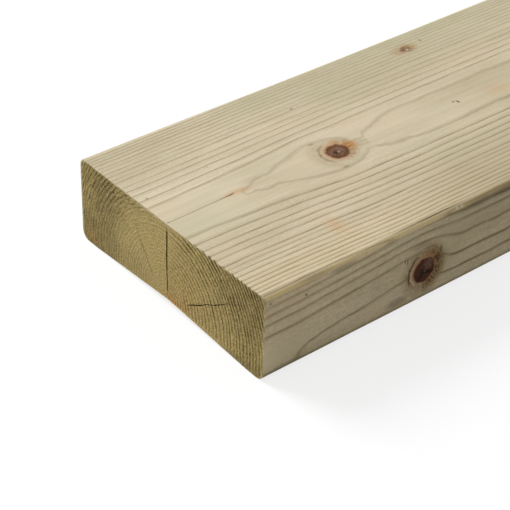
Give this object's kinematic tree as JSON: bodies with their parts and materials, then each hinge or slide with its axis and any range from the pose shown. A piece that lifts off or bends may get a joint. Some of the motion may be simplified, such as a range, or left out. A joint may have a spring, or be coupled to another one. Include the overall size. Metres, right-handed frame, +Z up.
{
  "type": "timber plank",
  "caption": "Sawn softwood plank with eased long edges, a shallow hollow underneath and drying checks in one end, for framing and joists.",
  "frame": {"origin": "middle of the footprint, on the plane that the two lower edges rest on", "axes": "+X along the length, away from the end with the drying checks; +Y across the width; +Z up through the thickness"},
  "size_m": [2.4, 0.15, 0.05],
  "materials": {
    "timber": "matte"
  },
  "bodies": {
    "root": {"plank": "timber"}
  },
  "joints": []
}
